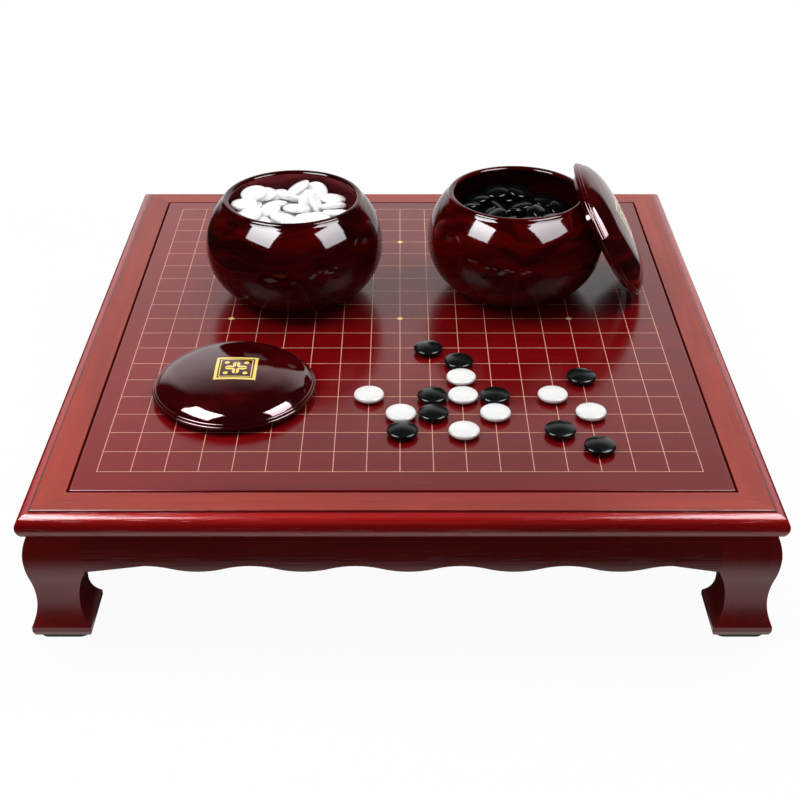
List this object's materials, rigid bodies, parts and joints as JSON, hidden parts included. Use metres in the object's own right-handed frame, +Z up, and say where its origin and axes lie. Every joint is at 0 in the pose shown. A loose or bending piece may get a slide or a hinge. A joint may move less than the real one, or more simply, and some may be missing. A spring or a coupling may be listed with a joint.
{
  "type": "go table with bowls and stones",
  "caption": "Low footed Go table with a framed, gridded playing panel, two lidded round bowls full of stones, and stones in play.",
  "frame": {"origin": "middle of the table's footprint, on the floor", "axes": "+Z up, +X to a player's right, +Y away from the player in front, along the board's longer side"},
  "size_m": [0.4854, 0.514, 0.2005],
  "materials": {
    "frame_wood": "satin",
    "panel_wood": "high gloss lacquer",
    "stand_wood": "satin",
    "inner_wood": "matt",
    "bowl_wood": "high gloss lacquer",
    "lid_wood": "high gloss lacquer",
    "black_stone": "gloss",
    "white_stone": "gloss",
    "foot_pad": "matt",
    "screw_steel": "zinc plated"
  },
  "bodies": {
    "table": {"frame_rail_front": "frame_wood", "frame_rail_right": "frame_wood", "frame_rail_back": "frame_wood", "frame_rail_left": "frame_wood", "mitre_tongue_front_left": "inner_wood", "mitre_tongue_front_right": "inner_wood", "mitre_tongue_back_right": "inner_wood", "mitre_tongue_back_left": "inner_wood", "panel_batten_left": "inner_wood", "panel_batten_right": "inner_wood", "leg_front_left": "stand_wood", "leg_front_right": "stand_wood", "leg_back_right": "stand_wood", "leg_back_left": "stand_wood", "apron_front": "stand_wood", "apron_right": "stand_wood", "apron_back": "stand_wood", "apron_left": "stand_wood", "foot_pad_front_left": "foot_pad", "foot_pad_front_right": "foot_pad", "foot_pad_back_right": "foot_pad", "foot_pad_back_left": "foot_pad", "corner_block_front_left": "inner_wood", "corner_block_front_right": "inner_wood", "corner_block_back_right": "inner_wood", "corner_block_back_left": "inner_wood", "corner_block_screws": "screw_steel"},
    "panel": {"playing_panel": "panel_wood"},
    "white_bowl": {"bowl_white": "bowl_wood"},
    "black_bowl": {"bowl_black": "bowl_wood"},
    "white_heap": {"white_stones_in_bowl": "white_stone"},
    "black_heap": {"black_stones_in_bowl": "black_stone"},
    "white_lid": {"lid_white": "lid_wood"},
    "black_lid": {"lid_black": "lid_wood"},
    "black_stone_1": {"black_stone_1": "black_stone"},
    "black_stone_2": {"black_stone_2": "black_stone"},
    "black_stone_3": {"black_stone_3": "black_stone"},
    "black_stone_4": {"black_stone_4": "black_stone"},
    "black_stone_5": {"black_stone_5": "black_stone"},
    "black_stone_6": {"black_stone_6": "black_stone"},
    "black_stone_7": {"black_stone_7": "black_stone"},
    "black_stone_8": {"black_stone_8": "black_stone"},
    "black_stone_9": {"black_stone_9": "black_stone"},
    "white_stone_1": {"white_stone_1": "white_stone"},
    "white_stone_2": {"white_stone_2": "white_stone"},
    "white_stone_3": {"white_stone_3": "white_stone"},
    "white_stone_4": {"white_stone_4": "white_stone"},
    "white_stone_5": {"white_stone_5": "white_stone"},
    "white_stone_6": {"white_stone_6": "white_stone"},
    "white_stone_7": {"white_stone_7": "white_stone"},
    "white_stone_8": {"white_stone_8": "white_stone"}
  },
  "joints": [
    {"name": "panel_lift", "type": "slide", "parent": "table", "child": "panel", "axis": [0, 0, 1], "range_m": [0, 0.15]},
    {"name": "white_bowl_lift", "type": "slide", "parent": "panel", "child": "white_bowl", "axis": [0, 0, 1], "range_m": [0, 0.12]},
    {"name": "black_bowl_lift", "type": "slide", "parent": "panel", "child": "black_bowl", "axis": [0, 0, 1], "range_m": [0, 0.12]},
    {"name": "white_heap_lift", "type": "slide", "parent": "white_bowl", "child": "white_heap", "axis": [0, 0, 1], "range_m": [0, 0.1]},
    {"name": "black_heap_lift", "type": "slide", "parent": "black_bowl", "child": "black_heap", "axis": [0, 0, 1], "range_m": [0, 0.1]},
    {"name": "white_lid_lift", "type": "slide", "parent": "panel", "child": "white_lid", "axis": [0, 0, 1], "range_m": [0, 0.1]},
    {"name": "black_lid_draw", "type": "slide", "parent": "black_bowl", "child": "black_lid", "axis": [0.8676, -0.0424, 0.4955], "range_m": [0, 0.08]},
    {"name": "black_stone_1_lift", "type": "slide", "parent": "panel", "child": "black_stone_1", "axis": [0, 0, 1], "range_m": [0, 0.06]},
    {"name": "black_stone_2_lift", "type": "slide", "parent": "panel", "child": "black_stone_2", "axis": [0, 0, 1], "range_m": [0, 0.06]},
    {"name": "black_stone_3_lift", "type": "slide", "parent": "panel", "child": "black_stone_3", "axis": [0, 0, 1], "range_m": [0, 0.06]},
    {"name": "black_stone_4_lift", "type": "slide", "parent": "panel", "child": "black_stone_4", "axis": [0, 0, 1], "range_m": [0, 0.06]},
    {"name": "black_stone_5_lift", "type": "slide", "parent": "panel", "child": "black_stone_5", "axis": [0, 0, 1], "range_m": [0, 0.06]},
    {"name": "black_stone_6_lift", "type": "slide", "parent": "panel", "child": "black_stone_6", "axis": [0, 0, 1], "range_m": [0, 0.06]},
    {"name": "black_stone_7_lift", "type": "slide", "parent": "panel", "child": "black_stone_7", "axis": [0, 0, 1], "range_m": [0, 0.06]},
    {"name": "black_stone_8_lift", "type": "slide", "parent": "panel", "child": "black_stone_8", "axis": [0, 0, 1], "range_m": [0, 0.06]},
    {"name": "black_stone_9_lift", "type": "slide", "parent": "panel", "child": "black_stone_9", "axis": [0, 0, 1], "range_m": [0, 0.06]},
    {"name": "white_stone_1_lift", "type": "slide", "parent": "panel", "child": "white_stone_1", "axis": [0, 0, 1], "range_m": [0, 0.06]},
    {"name": "white_stone_2_lift", "type": "slide", "parent": "panel", "child": "white_stone_2", "axis": [0, 0, 1], "range_m": [0, 0.06]},
    {"name": "white_stone_3_lift", "type": "slide", "parent": "panel", "child": "white_stone_3", "axis": [0, 0, 1], "range_m": [0, 0.06]},
    {"name": "white_stone_4_lift", "type": "slide", "parent": "panel", "child": "white_stone_4", "axis": [0, 0, 1], "range_m": [0, 0.06]},
    {"name": "white_stone_5_lift", "type": "slide", "parent": "panel", "child": "white_stone_5", "axis": [0, 0, 1], "range_m": [0, 0.06]},
    {"name": "white_stone_6_lift", "type": "slide", "parent": "panel", "child": "white_stone_6", "axis": [0, 0, 1], "range_m": [0, 0.06]},
    {"name": "white_stone_7_lift", "type": "slide", "parent": "panel", "child": "white_stone_7", "axis": [0, 0, 1], "range_m": [0, 0.06]},
    {"name": "white_stone_8_lift", "type": "slide", "parent": "panel", "child": "white_stone_8", "axis": [0, 0, 1], "range_m": [0, 0.06]}
  ]
}
